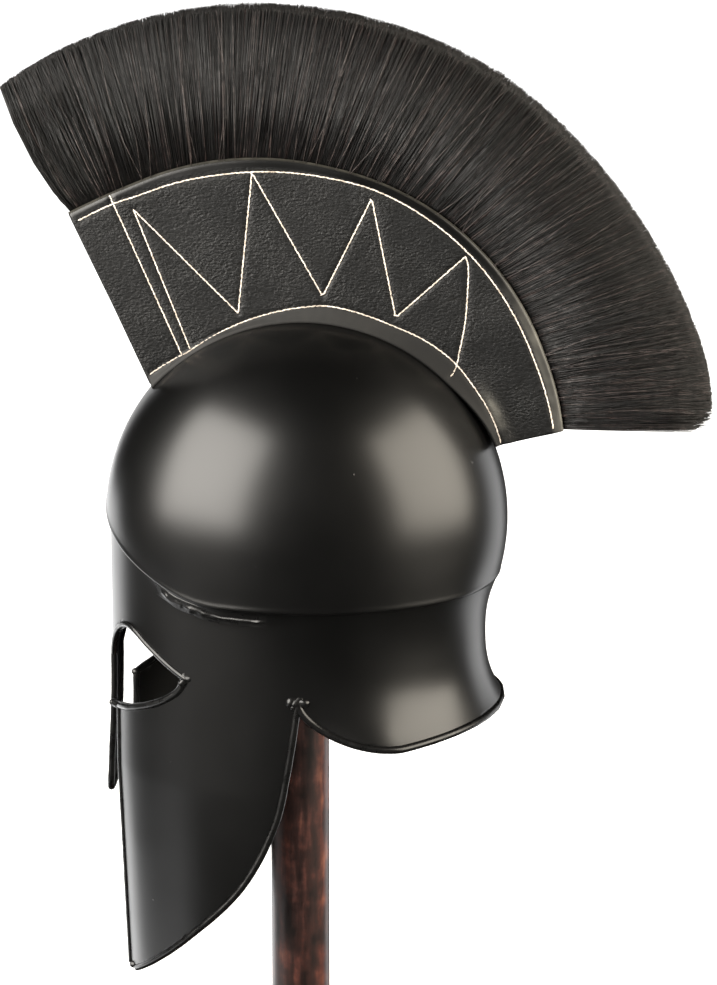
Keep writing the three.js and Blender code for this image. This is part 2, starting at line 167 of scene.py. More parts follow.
def plan_radius(half_width, half_length, angle):
    return 1 / math.hypot(math.sin(angle) / half_width, math.cos(angle) / half_length)


def skull_radius(angle, level):
    share = math.sqrt(max(0.0, 1 - (level / SKULL_RISE) ** 2))
    return plan_radius(SKULL_WIDTH / 2, SKULL_LENGTH / 2, angle) * share


def degrees_from_face(angle):
    return abs(math.degrees(math.remainder(angle, 2 * math.pi)))


def bowl_radius(angle, level):
    """Radius of the beaten bowl, which comes down a little straighter over the ears."""
    turn = degrees_from_face(angle)
    straight = 0.5 * smoothstep(turn, 35, 60) * (1 - smoothstep(turn, 140, 165))
    return skull_radius(angle, level * (1 - straight) if level < 0 else level)


def lap_height(angle):
    share = clamp(degrees_from_face(angle) / LAP_SIDE_ANGLE, 0, 1)
    return LAP_LEVEL + (LAP_PEAK - LAP_LEVEL) * (1 - share ** 1.3) ** 1.9


def guard_radius(angle, level):
    turn = degrees_from_face(angle)
    nape = smoothstep(turn, 60, 120)
    draw = CHIN_DRAW * clamp((CHIN_LEVEL - level) / (CHIN_LEVEL - CHEEK_TIP_LEVEL), 0, 1)
    reach = lerp(FACE_REACH, WAIST_REACH, smoothstep(turn, 40, 150)) - draw
    waist = plan_radius(GUARD_WIDTH / 2 - draw / 2, reach, angle)
    lap = lap_height(angle)
    valley = clamp((level - WAIST_LEVEL) / (lap - WAIST_LEVEL), 0, 1) ** 2.2
    spread = clamp((WAIST_LEVEL - level) / (WAIST_LEVEL - RIM_BACK_LEVEL), 0, 1.2) ** 2.6
    rise = (skull_radius(angle, lap) - waist) * valley * nape
    across = abs(math.sin(angle)) * FACE_REACH
    down = clamp((INNER_EYE_LEVEL - level) / (INNER_EYE_LEVEL - NASAL_END_LEVEL), 0, 1.2)
    lean = NASAL_LEAN * down ** 2 * (1 - smoothstep(across, NASAL_HALF_WIDTH, SLOT_HALF_WIDTH))
    return waist + rise + FLARE * smoothstep(turn, 88, 125) * spread + lean


def around(angle, radius, level):
    return Vector((radius * math.sin(angle), -radius * math.cos(angle), level))


def on_guard(angle, level, depth=SHEET / 2):
    return around(angle, guard_radius(angle, level) - depth, level)


def at_half_width(x, level, depth=SHEET / 2):
    angle = 0.0
    for _ in range(16):
        angle = math.asin(clamp(x / (guard_radius(angle, level) - depth), -1, 1))
    return on_guard(angle, level, depth)


def at_set_back(y, level, depth=SHEET / 2):
    angle = math.pi / 2
    for _ in range(16):
        angle = math.pi - math.acos(clamp(y / (guard_radius(angle, level) - depth), -1, 1))
    return on_guard(angle, level, depth)


def through(points, t):
    """A place on a smooth curve through the points, t from 0 to 1."""
    spans = len(points) - 1
    at = clamp(t, 0, 1) * spans
    i = min(int(at), spans - 1)
    f = at - i
    p0, p1, p2, p3 = (points[clamp(i + k, 0, spans)] for k in (-1, 0, 1, 2))
    v0, v1 = (p2 - p0) / 2, (p3 - p1) / 2
    return (2 * p1 - 2 * p2 + v0 + v1) * f ** 3 + (3 * p2 - 3 * p1 - 2 * v0 - v1) * f ** 2 + v0 * f + p1


def bent(start, end, bends):
    """Points of an edge between two places that passes its bends."""
    middle = [Vector((lerp(start.x, end.x, x), lerp(start.y, end.y, y))) for x, y in bends]
    return [start] + middle + [end]


EYE_CORNER = Vector((EYE_CORNER_HALF_WIDTH, EYE_CORNER_LEVEL))
BROW = Vector((BROW_HALF_WIDTH, BROW_LEVEL))
UPPER_LID = bent(Vector((NASAL_HALF_WIDTH, INNER_EYE_LEVEL)), BROW, [INNER_BROW_BEND])
UPPER_LID += bent(BROW, EYE_CORNER, [OUTER_BROW_BEND])[1:]
LOWER_LID = bent(EYE_CORNER, Vector((SLOT_HALF_WIDTH, LOWER_LID_LEVEL)), LOWER_LID_BENDS)
CHEEK_EDGE = bent(
    Vector((NOTCH_SET_BACK, NOTCH_LEVEL)), Vector((-CHEEK_TIP_SET_FRONT, CHEEK_TIP_LEVEL)), CHEEK_BENDS)


def shares(count):
    return [i / count for i in range(count + 1)]


def level_on(curve, x):
    """Height of a lid curve at a distance across X."""
    places = [through(curve, t) for t in shares(40)]
    places.sort(key=lambda p: p.x)
    return float(np.interp(x, [p.x for p in places], [p.y for p in places]))


def nasal_end(t):
    turn = t * math.pi / 2
    return Vector((
        NASAL_HALF_WIDTH * math.cos(turn),
        NASAL_END_LEVEL + NASAL_END_DROP * (1 - math.sin(turn)),
    ))


def slot_half_width(level):
    return lerp(
        SLOT_HALF_WIDTH, SLOT_TIP_HALF_WIDTH,
        clamp((LOWER_LID_LEVEL - level) / (LOWER_LID_LEVEL - CHEEK_TIP_LEVEL), 0, 1),
    )


def rim_level(set_back):
    side = clamp((set_back - NOTCH_SET_BACK) / (RIM_SIDE_SET_BACK - NOTCH_SET_BACK), 0, 1)
    if side < 1:
        return NOTCH_LEVEL + (RIM_SIDE_LEVEL - NOTCH_LEVEL) * math.sqrt(1 - (1 - side) ** 2) ** 1.15
    back = (set_back - RIM_SIDE_SET_BACK) / (WAIST_REACH + FLARE - RIM_SIDE_SET_BACK)
    return lerp(RIM_SIDE_LEVEL, RIM_BACK_LEVEL, clamp(back, 0, 1.2))


# Making pieces

def finish_piece(bm, name, material, stands_for=(), sharp=35.0, offset=SKULL_CENTRE):
    """Moves the mesh to its place, scales it to metres and makes it a piece that rides on the root."""
    bmesh.ops.translate(bm, verts=bm.verts, vec=offset)
    bmesh.ops.scale(bm, verts=bm.verts, vec=(MM, MM, MM))
    mesh = bpy.data.meshes.new(name)
    bm.to_mesh(mesh)
    bm.free()
    mesh.shade_smooth()
    mesh.set_sharp_from_angle(angle=math.radians(sharp))
    return show(mesh, name, material, stands_for)


def show(mesh, name, material, stands_for=()):
    piece = bpy.data.objects.new(name, mesh)
    bpy.context.collection.objects.link(piece)
    mesh.materials.append(material)
    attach(piece, "root")
    if stands_for:
        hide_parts(*stands_for)
    return piece


def mapped_grid(columns, rows, place, closed=False, flip=False, marks=None):
    """A grid whose points are placed, and marked for its material, by their shares across and up."""
    bm = bmesh.new()
    bmesh.ops.create_grid(bm, x_segments=columns, y_segments=rows, size=0.5)
    layers = {name: bm.verts.layers.float.new(name) for name in marks or {}}
    for v in bm.verts:
        across, up = v.co.x + 0.5, v.co.y + 0.5
        v.co = place(across, up)
        for name, layer in layers.items():
            v[layer] = marks[name](across, up)
    if closed:
        bmesh.ops.remove_doubles(bm, verts=bm.verts, dist=0.01)
    if flip:
        bmesh.ops.reverse_faces(bm, faces=bm.faces)
    return bm


def thicken(piece, name, thickness):
    """Gives a sheet its thickness, on the inner side."""
    modifier = piece.modifiers.new(name, "SOLIDIFY")
    modifier.thickness = thickness * MM
    modifier.offset = -1.0


def tube(bm, points, radius, sides=12, wobble=0.0, taper=None):
    """A round bar along points, closed at both ends."""
    last_ring = None
    side_axis = None
    for i, point in enumerate(points):
        ahead = points[min(i + 1, len(points) - 1)] - points[max(i - 1, 0)]
        ahead.normalize()
        if side_axis is None:
            side_axis = ahead.orthogonal().normalized()
        side_axis = (side_axis - ahead * side_axis.dot(ahead)).normalized()
        other = ahead.cross(side_axis)
        size = radius * (taper(i / (len(points) - 1)) if taper else 1.0)
        size *= 1 + wobble * noise.noise(point * 0.12)
        ring = bmesh.ops.create_circle(bm, segments=sides, radius=size, cap_ends=False)["verts"]
        turn = Matrix((side_axis, other, ahead)).transposed().to_4x4()
        bmesh.ops.transform(bm, matrix=Matrix.Translation(point) @ turn, verts=ring)
        edges = list(dict.fromkeys(e for v in ring for e in v.link_edges))
        if last_ring is None:
            first = edges
        else:
            bmesh.ops.bridge_loops(bm, edges=last_ring + edges)
        last_ring = edges
    for end in (first, last_ring):
        bmesh.ops.contextual_create(bm, geom=end)
    bmesh.ops.recalc_face_normals(bm, faces=bm.faces)


def blob(bm, centre, radius, rough, squash=(1, 1, 1), seed=0.0):
    """A lump of braze: a ball with a softly uneven surface."""
    made = bmesh.ops.create_icosphere(bm, subdivisions=3, radius=radius)["verts"]
    for v in made:
        swell = noise.noise(v.co * (1.1 / radius) + Vector((seed, 0, 0)))
        v.co *= 1 + rough * swell
    bmesh.ops.scale(bm, verts=made, vec=squash)
    bmesh.ops.translate(bm, verts=made, vec=centre)


# Materials

def linear(code):
    """An sRGB hex colour as linear light."""
    parts = [int(code[i:i + 2], 16) / 255 for i in (1, 3, 5)]
    return tuple(c / 12.92 if c <= 0.04045 else ((c + 0.055) / 1.055) ** 2.4 for c in parts) + (1.0,)


def scale_of(size):
    """Texture scale whose features have a real size in millimetres."""
    return 1 / (size * MM)


def link(tree, node, links):
    """Links sources to a node's sockets; a node as a source gives its first output."""
    for key, source in links.items():
        out = source.outputs[0] if isinstance(source, bpy.types.Node) else source
        tree.links.new(out, node.inputs[key])


def add_node(tree, kind, links=None, stops=(), **settings):
    """Adds a node, sets its sockets, properties and colour stops, and links the sockets that are given."""
    node = tree.nodes.new("ShaderNode" + kind)
    for key, value in settings.items():
        socket = key.replace("_", " ")
        if socket in node.inputs:
            node.inputs[socket].default_value = value
        else:
            setattr(node, key, value)
    if stops:
        elements = node.color_ramp.elements
        while len(elements) < len(stops):
            elements.new(0.5)
        for element, (position, code) in zip(elements, stops):
            element.position = position
            element.color = linear(code)
    link(tree, node, links or {})
    return node


def new_material(name, base, roughness, **sockets):
    material = bpy.data.materials.new(name)
    material.use_nodes = True
    tree = material.node_tree
    shader = tree.nodes["Principled BSDF"]
    shader.inputs["Base Color"].default_value = linear(base)
    shader.inputs["Roughness"].default_value = roughness
    for key, value in sockets.items():
        shader.inputs[key.replace("_", " ")].default_value = value
    where = add_node(tree, "TexCoord").outputs["Object"]
    return material, tree, shader, where


def satin_black_paint():
    # Sprayed satin enamel on hand-beaten sheet: a broad soft gloss over dents 45 mm wide, orange peel of
    # 1.1 mm, and a grain of dust here and there
    material, tree, shader, where = new_material("satin_black_paint", "#050505", 0.3)
    at = {"Vector": where}
    cloud = add_node(tree, "TexNoise", at, Scale=scale_of(111), Detail=3.0)
    peel = add_node(tree, "TexNoise", at, Scale=scale_of(1.111), Detail=2.0)
    beaten = add_node(tree, "TexNoise", at, Scale=scale_of(45.45), Detail=1.0)
    dust = add_node(tree, "TexVoronoi", at, Scale=scale_of(14.286))
    grain = add_node(tree, "MapRange", {"Value": dust}, From_Min=0.03, From_Max=0.06, To_Min=1.0, To_Max=0.0)
    chosen = add_node(tree, "MapRange", {"Value": dust.outputs["Color"]}, From_Min=0.74, From_Max=0.75)
    speck = add_node(tree, "Math", {0: grain, 1: chosen}, operation="MULTIPLY")
    colour = add_node(tree, "ValToRGB", {"Fac": cloud}, ((0.35, "#040404"), (0.7, "#070707")))
    gloss = add_node(tree, "MapRange", {"Value": cloud}, From_Min=0.3, From_Max=0.7, To_Min=0.28, To_Max=0.34)
    fine = add_node(tree, "Bump", {"Height": peel}, Strength=0.05, Distance=0.0003)
    soft = add_node(tree, "Bump", {"Height": beaten, "Normal": fine}, Strength=0.12, Distance=0.002)
    pimple = add_node(tree, "Bump", {"Height": speck, "Normal": soft}, Strength=0.4, Distance=0.0004)
    link(tree, shader, {"Base Color": colour, "Roughness": gloss, "Normal": pimple})
    return material


def gloss_black_wire():
    # The same enamel where it runs and pools on round wire: glossier, with runs of 6 mm
    material, tree, shader, where = new_material("gloss_black_wire", "#080808", 0.28)
    runs = add_node(tree, "TexNoise", {"Vector": where}, Scale=scale_of(6.25), Detail=3.0)
    bump = add_node(tree, "Bump", {"Height": runs}, Strength=0.2, Distance=0.0005)
    gloss = add_node(tree, "MapRange", {"Value": runs}, From_Min=0.3, From_Max=0.7, To_Min=0.24, To_Max=0.36)
    link(tree, shader, {"Roughness": gloss, "Normal": bump})
    return material


def grained_leather():
    # Printed-grain cowhide, dyed black: level creases of 1.3 mm and pebbles of 1.4 mm with painted shade in
    # the creases, smooth and evenly darkened where pressed flat, grey where the dye is rubbed off, and a thin
    # painted highlight along the cut outer edge
    material, tree, shader, where = new_material("grained_black_leather", "#0b0c0d", 0.5)
    at = {"Vector": where}
    level = add_node(tree, "Mapping", at, Scale=(1.0, 0.45, 1.0))
    crease = add_node(tree, "TexNoise", {"Vector": level}, Scale=scale_of(1.316), Detail=3.0, Roughness=0.6)
    pebble = add_node(tree, "TexVoronoi", at, feature="SMOOTH_F1", Scale=scale_of(1.389))
    patch = add_node(tree, "TexNoise", at, Scale=scale_of(22.22), Detail=3.0)
    rubbed = add_node(tree, "TexNoise", at, Scale=scale_of(38.46), Detail=4.0)
    wear_and_edge_highlight, flat, dull = (
        add_node(tree, "Attribute", attribute_name=name).outputs["Fac"]
        for name in ("wear_and_edge_highlight", "flat", "dull")
    )
    colour = add_node(
        tree, "ValToRGB", {"Fac": rubbed}, ((0.3, "#08090a"), (0.55, "#0b0c0d"), (0.78, "#111212")))
    # Painted shade: the colour is multiplied down in the valleys of the creases, and by a steady grey on the
    # flat strips
    valley = add_node(tree, "ValToRGB", {"Fac": crease}, ((0.36, "#5c5c5c"), (0.62, "#ffffff")))
    pressed = add_node(tree, "Mix", {"Factor": flat, MIX_A: valley}, data_type="RGBA")
    pressed.inputs[MIX_B].default_value = linear("#707070")
    shade = add_node(
        tree, "Mix", {MIX_A: colour, MIX_B: pressed.outputs[MIX_RESULT]},
        data_type="RGBA", blend_type="MULTIPLY", Factor=1.0,
    )
    # Grey where the dye is rubbed off, and a thin painted highlight along the cut outer edge
    greyed = add_node(tree, "Mix", {"Factor": wear_and_edge_highlight, MIX_A: shade.outputs[MIX_RESULT]}, data_type="RGBA")
    greyed.inputs[MIX_B].default_value = linear("#66635a")
    depth = add_node(
        tree, "MapRange", {"Value": patch},
        From_Min=0.35, From_Max=0.65, To_Min=0.3, To_Max=0.75,
    )
    left = add_node(tree, "MapRange", {"Value": flat}, To_Min=1.0, To_Max=0.08)
    strength = add_node(tree, "Math", {0: depth, 1: left}, operation="MULTIPLY")
    low = add_node(tree, "Bump", {"Height": crease, "Strength": strength}, Distance=0.0012)
    grain = add_node(
        tree, "Bump",
        {"Height": pebble, "Normal": low, "Strength": strength},
        Distance=0.0004, invert=True,
    )
    gloss = add_node(
        tree, "MapRange", {"Value": rubbed}, From_Min=0.3, From_Max=0.7, To_Min=0.52, To_Max=0.44)
    duller = add_node(tree, "Math", {0: dull, 2: gloss}, operation="MULTIPLY_ADD")
    duller.inputs[1].default_value = 0.2
    link(tree, shader, {"Base Color": greyed.outputs[MIX_RESULT], "Roughness": duller, "Normal": grain})
    return material


def waxed_thread():
    # Waxed linen thread, off-white, with soil in patches of 6 mm
    material, tree, shader, where = new_material("waxed_linen_thread", "#bdb2a5", 0.7)
    soil = add_node(tree, "TexNoise", {"Vector": where}, Scale=scale_of(5.556), Detail=3.0)
    colour = add_node(tree, "ValToRGB", {"Fac": soil}, ((0.3, "#92877a"), (0.5, "#bdb2a5"), (0.7, "#d2c9bd")))
    link(tree, shader, {"Base Color": colour})
    return material


def bristle_hair():
    # Dyed coarse bristle: brown black with rusty and grey strands, uneven over 4 mm, a soft shine along
    # each hair
    material, tree, shader, where = new_material("dyed_bristle", "#120f0f", 0.5)
    tone = add_node(tree, "Attribute", attribute_name="tone").outputs["Fac"]
    colour = add_node(
        tree, "ValToRGB", {"Fac": tone},
        ((0.0, "#020202"), (0.35, "#0a0808"), (0.7, "#161111"), (0.9, "#2c1d1a"), (1.0, "#453c39")),
    )
    patchy = add_node(tree, "TexNoise", {"Vector": where}, Scale=scale_of(4.167), Detail=3.0)
    uneven = add_node(tree, "ValToRGB", {"Fac": patchy}, ((0.36, "#6a6a6a"), (0.64, "#ffffff")))
    shade = add_node(
        tree, "Mix", {MIX_A: colour, MIX_B: uneven},
        data_type="RGBA", blend_type="MULTIPLY", Factor=1.0,
    )
    rough = add_node(
        tree, "MapRange", {"Value": patchy}, From_Min=0.36, From_Max=0.64, To_Min=0.62, To_Max=0.44)
    link(tree, shader, {"Base Color": shade.outputs[MIX_RESULT], "Roughness": rough})
    return material


def plume_heart_material():
    # The depth between the bristles, where no light comes back, in streaks of 2 mm
    material, tree, shader, where = new_material("bristle_depth", "#141111", 0.8)
    streak = add_node(tree, "TexNoise", {"Vector": where}, Scale=scale_of(2), Detail=2.0)
    colour = add_node(tree, "ValToRGB", {"Fac": streak}, ((0.3, "#0f0c0c"), (0.7, "#1e1918")))
    link(tree, shader, {"Base Color": colour})
    return material


def stained_wood():
    # Turned hardwood under a mahogany stain and varnish: dark streaks 6 mm wide along Z, and red brown
    # blotches of 18 mm
    material, tree, shader, where = new_material(
        "stained_turned_wood", "#26130f", 0.42, Coat_Weight=0.12, Coat_Roughness=0.15)
    along = add_node(tree, "Mapping", {"Vector": where}, Scale=(1.0, 1.0, 0.12))
    streak = add_node(tree, "TexNoise", {"Vector": along}, Scale=scale_of(6.25), Detail=6.0)
    blotch = add_node(tree, "TexNoise", {"Vector": where}, Scale=scale_of(18.18), Detail=5.0, Roughness=0.6)
    mixed = add_node(tree, "Math", {0: streak, 1: blotch}, operation="ADD")
    halved = add_node(tree, "MapRange", {"Value": mixed}, From_Min=0.6, From_Max=1.4)
    colour = add_node(
        tree, "ValToRGB", {"Fac": halved},
        ((0.25, "#140907"), (0.5, "#2a120c"), (0.66, "#401c12"), (0.85, "#5c301c")),
    )
    bump = add_node(tree, "Bump", {"Height": streak}, Strength=0.1, Distance=0.0005)
    link(tree, shader, {"Base Color": colour, "Normal": bump})
    return material


PAINT = satin_black_paint()
WIRE_PAINT = gloss_black_wire()
HIDE = grained_leather()
THREAD = waxed_thread()
BRISTLE = bristle_hair()
HEART = plume_heart_material()
WOOD = stained_wood()


# Shell

SHELL_COLUMNS = 290
GUARD_ROWS = 110
SKULL_ROWS = 44
# A cut edge that lies this near a wire follows the wire
EDGE_SNAP = 3.5
# Rolled edge of the skull: millimetres under the lap, share of the way out to the skull, and swell
LAP_STEPS = (
    (1.9, 0.3, 0.0), (1.6, 0.8, 0.0), (1.2, 1.0, 0.1), (0.7, 1.0, 0.34), (0.1, 1.0, 0.4), (-0.6, 1.0, 0.36),
    (-1.3, 1.0, 0.24), (-2.0, 1.0, 0.12), (-2.8, 1.0, 0.04), (-3.6, 1.0, 0.0),
)
UPPER_LEVELS = [level_on(UPPER_LID, x) for x in range(0, 101)]
LOWER_LEVELS = [level_on(LOWER_LID, x) for x in range(0, 101)]
CHEEK_PLACES = sorted((through(CHEEK_EDGE, t) for t in shares(120)), key=lambda p: p.y)
CHEEK_LEVELS = [p.y for p in CHEEK_PLACES]
CHEEK_SET_BACKS = [p.x for p in CHEEK_PLACES]


def is_open(p):
    """True where the sheet is cut away: the face opening, and all that lies under the cheeks and rim."""
    across = abs(p.x)
    if p.y < 0 and across < EYE_CORNER_HALF_WIDTH:
        if across <= NASAL_HALF_WIDTH:
            round_off = 1 - math.sqrt(1 - (across / NASAL_HALF_WIDTH) ** 2)
            if p.z < NASAL_END_LEVEL + NASAL_END_DROP * round_off:
                return True
        elif p.z < np.interp(across, range(101), UPPER_LEVELS):
            if across < slot_half_width(p.z) or p.z > np.interp(across, range(101), LOWER_LEVELS):
                return True
    if p.y >= NOTCH_SET_BACK:
        return p.z < rim_level(p.y)
    if p.z > NOTCH_LEVEL:
        return False
    return p.z < CHEEK_TIP_LEVEL or p.y > np.interp(p.z, CHEEK_LEVELS, CHEEK_SET_BACKS)


def mirrored(route):
    return [Vector((-p.x, p.y, p.z)) for p in route]


def wire_routes():
    """Centre lines of the edge wires on the wearer's left, and the one round the nose piece's end."""
    nose_side = [
        Vector((NASAL_HALF_WIDTH, lerp(NASAL_END_LEVEL + NASAL_END_DROP, INNER_EYE_LEVEL, t)))
        for t in shares(20)[:-1]
    ]
    slot = [
        Vector((lerp(SLOT_HALF_WIDTH, SLOT_TIP_HALF_WIDTH, t), lerp(LOWER_LID_LEVEL, CHEEK_TIP_LEVEL, t)))
        for t in shares(60)
    ]
    rim = [lerp(NOTCH_SET_BACK, WAIST_REACH + FLARE - SHEET / 2, t ** 1.5) for t in shares(90)]
    neck = [at_set_back(y, rim_level(y)) for y in rim]
    neck[-1].x = 0.0
    nose = [nasal_end(t) for t in shares(10)]
    nose += [Vector((-p.x, p.y)) for p in reversed(nose[:-1])]

    def on_face(points):
        return [at_half_width(p.x, p.y) for p in points]

    return {
        "eye_brow": on_face(nose_side + [through(UPPER_LID, t) for t in shares(50)]),
        "eye_lid": on_face([through(LOWER_LID, t) for t in shares(40)]),
        "cheek_front": on_face(slot),
        "cheek_rear": [at_set_back(p.x, p.y) for p in (through(CHEEK_EDGE, t) for t in shares(110))],
        "neck": neck,
        "nose": on_face(nose),
    }


ROUTES = wire_routes()


def sheet_radius(angle, level):
    """Radius of the guards with the fillet of filler that runs under the lap at the temples."""
    turn = degrees_from_face(angle)
    below = lap_height(angle) - level
    filled = smoothstep(turn, 30, 50) * (1 - smoothstep(turn, 84, 112))
    gap = skull_radius(angle, lap_height(angle)) - guard_radius(angle, lap_height(angle))
    lump = 0.3 * noise.noise(Vector((turn * 0.22, level * 0.15, 2.0)))
    return guard_radius(angle, level) + filled * (gap * 0.7 + lump) * math.exp(-(below / 6.5) ** 2)


def make_shell():
    rows = GUARD_ROWS + len(LAP_STEPS) + SKULL_ROWS

    def place(across, up):
        angle = (across - 0.5) * 2 * math.pi
        row = round(up * rows)
        lap = lap_height(angle)
        low_lap = lap - LAP_STEPS[0][0] - 0.5
        if row <= GUARD_ROWS:
            share = 1 - (1 - row / GUARD_ROWS) ** 1.25
            level = lerp(CHEEK_TIP_LEVEL - 4, low_lap, share)
            return around(angle, sheet_radius(angle, level), level)
        if row <= GUARD_ROWS + len(LAP_STEPS):
            below, share, swell = LAP_STEPS[row - GUARD_ROWS - 1]
            level = lap - below
            radius = lerp(sheet_radius(angle, level), bowl_radius(angle, level), share)
            rolled = 1 - 0.4 * smoothstep(degrees_from_face(angle), 70, 95)
            return around(angle, radius + swell * rolled, level)
        start = math.asin((lap - LAP_STEPS[-1][0]) / SKULL_RISE)
        share = (row - GUARD_ROWS - len(LAP_STEPS)) / SKULL_ROWS
        level = SKULL_RISE * math.sin(lerp(start, math.pi / 2, share))
        return around(angle, bowl_radius(angle, level), level)

    bm = mapped_grid(SHELL_COLUMNS, rows, place, closed=True)
    cut = [f for f in bm.faces if is_open(f.calc_center_median())]
    bmesh.ops.delete(bm, geom=cut, context="FACES")
    loose = [v for v in bm.verts if not v.link_faces]
    bmesh.ops.delete(bm, geom=loose, context="VERTS")
    outline = [p for route in ROUTES.values() for p in route]
    outline += mirrored(outline)
    tree = kdtree.KDTree(len(outline))
    for i, p in enumerate(outline):
        tree.insert(p, i)
    tree.balance()
    for v in bm.verts:
        if v.is_boundary:
            near, _, distance = tree.find(v.co)
            if distance < EDGE_SNAP:
                outward = Vector((v.co.x, v.co.y, 0)).normalized()
                v.co = near + outward * (SHEET / 2)
    bmesh.ops.recalc_face_normals(bm, faces=bm.faces)
    shell = finish_piece(bm, "helmet_shell_sheet", PAINT, ("helmet_shell",), sharp=50)
    thicken(shell, "sheet thickness", SHEET)


def make_wires():
    tail = at_half_width(SLOT_HALF_WIDTH - LID_TAIL, LOWER_LID_LEVEL)
    tail.y -= LID_TAIL_LIFT
    corner_end = ROUTES["eye_lid"][-1]
    bend = corner_end.lerp(tail, 0.5) + Vector((0.6, 0.5, -0.3))
    left_lid = ROUTES["eye_lid"] + [corner_end.lerp(bend, 0.6), bend, bend.lerp(tail, 0.6), tail]
    for side, flip in (("left", False), ("right", True)):
        turned = mirrored if flip else list
        bm = bmesh.new()
        for name in ("eye_brow", "cheek_front", "cheek_rear"):
            tube(bm, turned(ROUTES[name]), WIRE_RADIUS, wobble=0.07)
        lid = turned(ROUTES["eye_lid"]) if flip else left_lid
        tube(bm, lid, LID_WIRE_RADIUS, wobble=0.08)
        finish_piece(bm, f"edge_wire_face_{side}", WIRE_PAINT)
        bm = bmesh.new()
        ear = ROUTES["neck"][0]
        corner = ROUTES["eye_lid"][0]
        lid_end = corner_end if flip else tail
        tip = ROUTES["cheek_rear"][-1].lerp(ROUTES["cheek_front"][-1], 0.5)
        for centre, radius, rough, seed in (
            (ear + Vector((-1.2, 0.0, 0.6)), 4.6, 0.4, 3.1),
            (ear + Vector((-1.2, -3.0, 0.2)), 4.2, 0.4, 8.2),
            (ear + Vector((-1.2, 3.0, -0.2)), 4.1, 0.4, 4.4),
            (ear + Vector((-0.8, -1.6, -2.4)), 3.4, 0.4, 7.7),
            (corner + Vector((-0.8, 1.2, 0.6)), 4.0, 0.4, 5.7),
            (corner + Vector((-0.4, -1.4, -2.6)), 3.3, 0.4, 1.4),
            (corner + Vector((-1.4, 5.0, 0.6)), 3.0, 0.4, 9.1),
            (lid_end, 2.8, 0.12, 2.2),
            (tip, 2.8, 0.2, 6.3),
        ):
            place = Vector((-centre.x, centre.y, centre.z)) if flip else centre
            blob(bm, place, radius, rough, squash=(0.8, 1.1, 0.9), seed=seed + flip * 4)
        finish_piece(bm, f"braze_lumps_{side}", WIRE_PAINT)
    bm = bmesh.new()
    tube(bm, ROUTES["nose"], WIRE_RADIUS * 1.05, wobble=0.05)
    finish_piece(bm, "edge_wire_nose", WIRE_PAINT)
    bm = bmesh.new()
    neck = ROUTES["neck"]
    tube(bm, neck + mirrored(neck)[::-1][1:], WIRE_RADIUS * 1.08, wobble=0.05)
    finish_piece(bm, "edge_wire_neck", WIRE_PAINT)


WELD_TURN = (40.0, 82.0)
WELD_DROP = (7.6, 8.8)
WELD_HALF_HEIGHT = 5.0


def make_weld():
    """The uneven bead that joins the guards to the skull: smeared at the front, a thin run at the rear."""
    for side, name in ((1, "left"), (-1, "right")):
        def place(across, up):
            turn = lerp(*WELD_TURN, across)
            angle = math.radians(turn) * side
            wander = 0.7 * noise.noise(Vector((across * 7, side, 0)))
            span = 2 * up - 1
            level = lap_height(angle) - lerp(*WELD_DROP, across) + wander + span * WELD_HALF_HEIGHT
            ends = smoothstep(across, 0, 0.12) * (1 - smoothstep(across, 0.94, 1))
            broad = 1 - smoothstep(across, 0.3, 0.62)
            width = lerp(0.17, 0.6, broad)
            rough = noise.noise(Vector((across * 13, up * 2.2, side * 3.0)))
            rough += 0.3 * noise.noise(Vector((across * 38, up * 4.0, side * 5.0)))
            bead = 0.5 * math.exp(-((across - 0.92) / 0.03) ** 2)
            ridge = math.exp(-(span / width) ** 2)
            height = (lerp(0.55, 1.15, broad) + bead + lerp(0.12, 0.7, broad) * rough) * ridge * ends
            edge = max(0.0, abs(span) - 0.75) * 2.4
            return around(angle, sheet_radius(angle, level) + height + 0.04 - edge, level)

        bm = mapped_grid(300, 24, place, flip=side < 0)
        finish_piece(bm, f"weld_bead_{name}", WIRE_PAINT, sharp=80)


# Crest

def hump(share, run):
    return math.sin(math.pi * clamp((share - run[0]) / (run[1] - run[0]), 0, 1))


def holder_place(along, inset=0.0):
    turn = math.radians(lerp(HOLDER_FRONT_ANGLE, HOLDER_REAR_ANGLE, along))
    corner = CORNER_LIFT * (1 - clamp(along / CORNER_RUN, 0, 1)) ** 2
    radius = HOLDER_RADIUS - inset + corner + EDGE_SWELL * hump(along, EDGE_SWELL_RUN)
    return CREST_CENTRE + Vector((math.cos(turn), math.sin(turn))) * radius


def foot_place(along, x, lift=0.3):
    turn = math.radians(lerp(FOOT_FRONT_ANGLE, FOOT_REAR_ANGLE, along))
    shrink = math.sqrt(1 - (x / (SKULL_WIDTH / 2)) ** 2)
    reach = shrink / math.hypot(math.cos(turn) / (SKULL_LENGTH / 2), math.sin(turn) / SKULL_RISE)
    reach += lift + REAR_STAND_OFF * smoothstep(along, 0.78, 1)
    return Vector((math.cos(turn), math.sin(turn))) * reach


